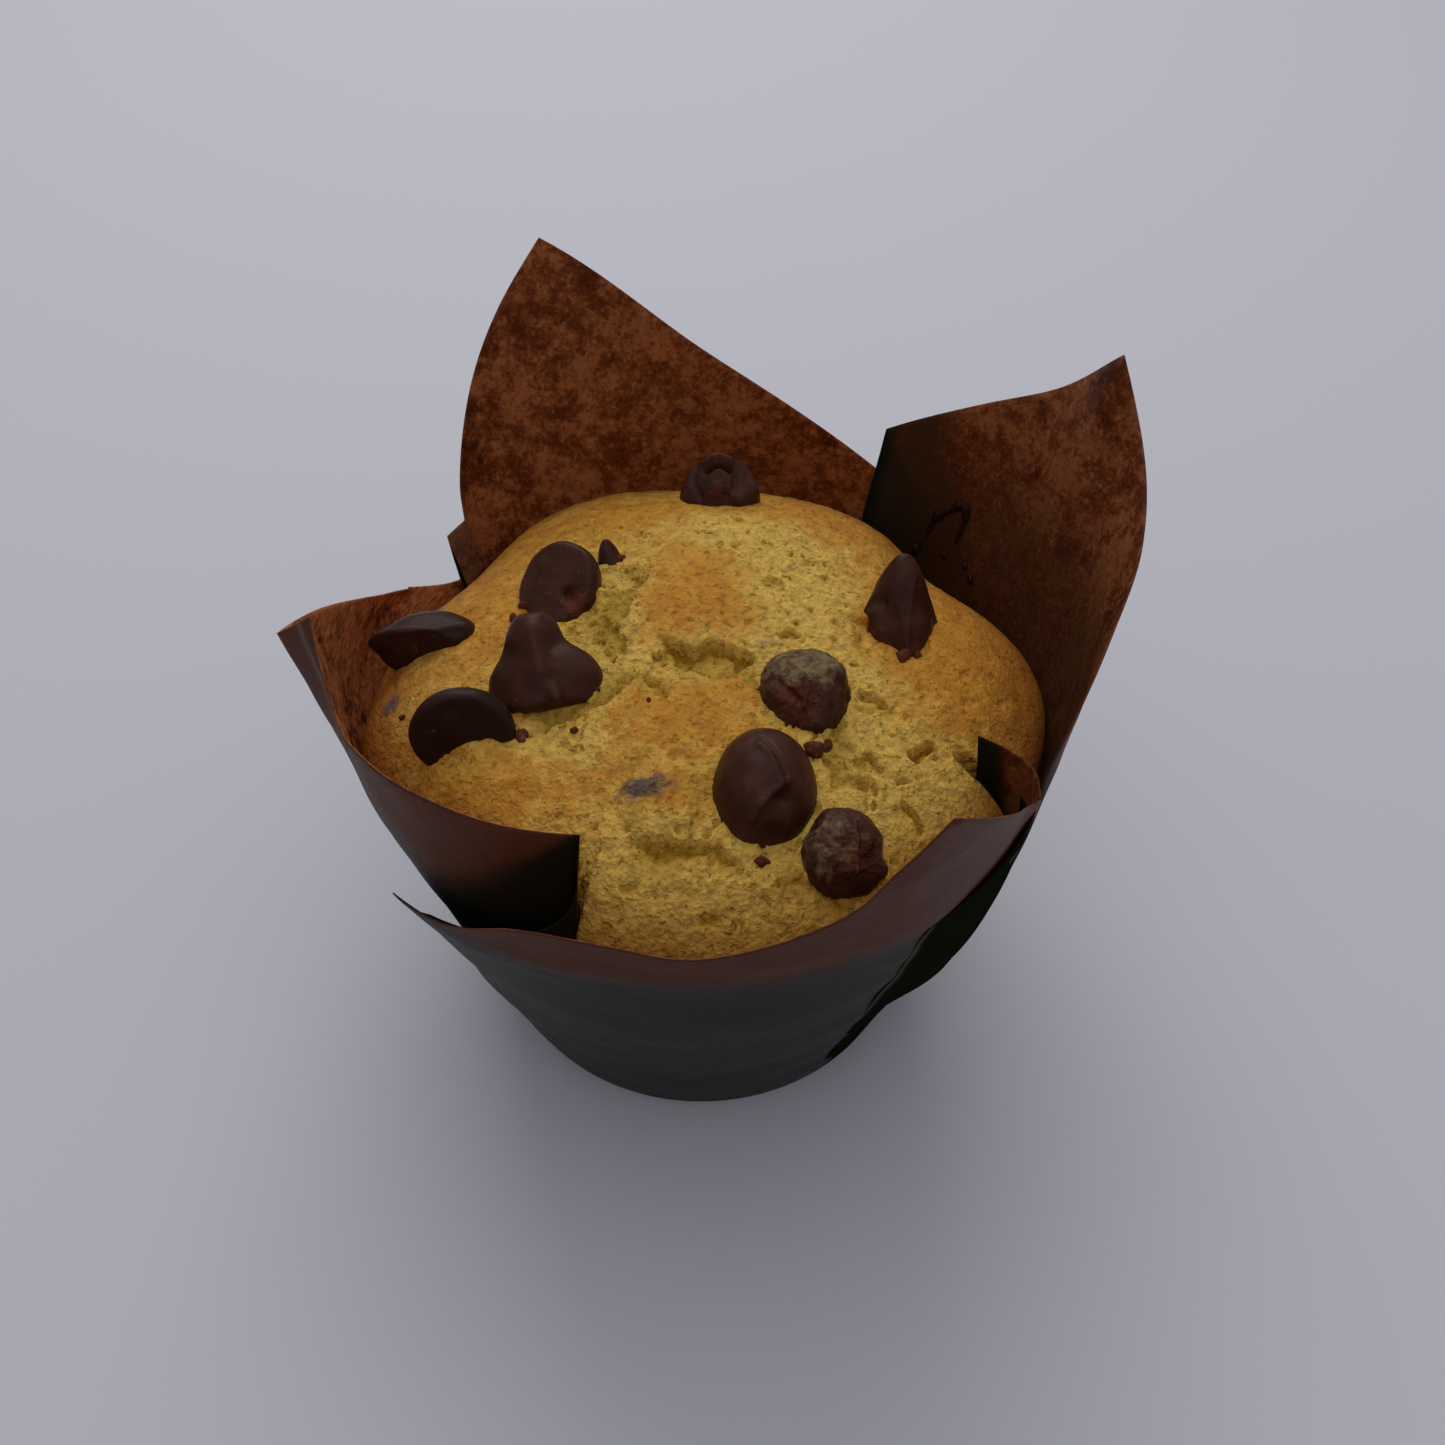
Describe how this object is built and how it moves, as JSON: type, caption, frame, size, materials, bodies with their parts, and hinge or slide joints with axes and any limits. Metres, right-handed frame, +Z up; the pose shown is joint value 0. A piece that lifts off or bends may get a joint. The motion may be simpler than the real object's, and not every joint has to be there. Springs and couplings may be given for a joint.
{
  "type": "muffin",
  "caption": "Chocolate-chip muffin with a domed, cracked golden crown, baked in a folded dark brown tulip paper case that stands on its flat base.",
  "frame": {"origin": "middle of the flat round base, on the surface the muffin stands on", "axes": "+Z up out of the crown, -Y towards the front panel of the case, +X to the right seen from the front"},
  "size_m": [0.0901, 0.09, 0.0771],
  "materials": {
    "paper": "dark brown greaseproof paper, satin, mottled where grease has soaked in",
    "crumb": "baked cake crumb, golden ochre crust with paler yellow broken crumb in the cracks",
    "chocolate": "semi-sweet chocolate, satin with a soft melted sheen"
  },
  "bodies": {
    "root": {"case": "paper", "crumb": "crumb", "chip_upper_left": "chocolate", "chip_small": "chocolate", "chip_left": "chocolate", "chip_disc": "chocolate", "chip_far_left": "chocolate", "chip_back": "chocolate", "chip_right": "chocolate", "chip_middle": "chocolate", "chip_dome": "chocolate", "chip_front_right": "chocolate"}
  },
  "joints": []
}
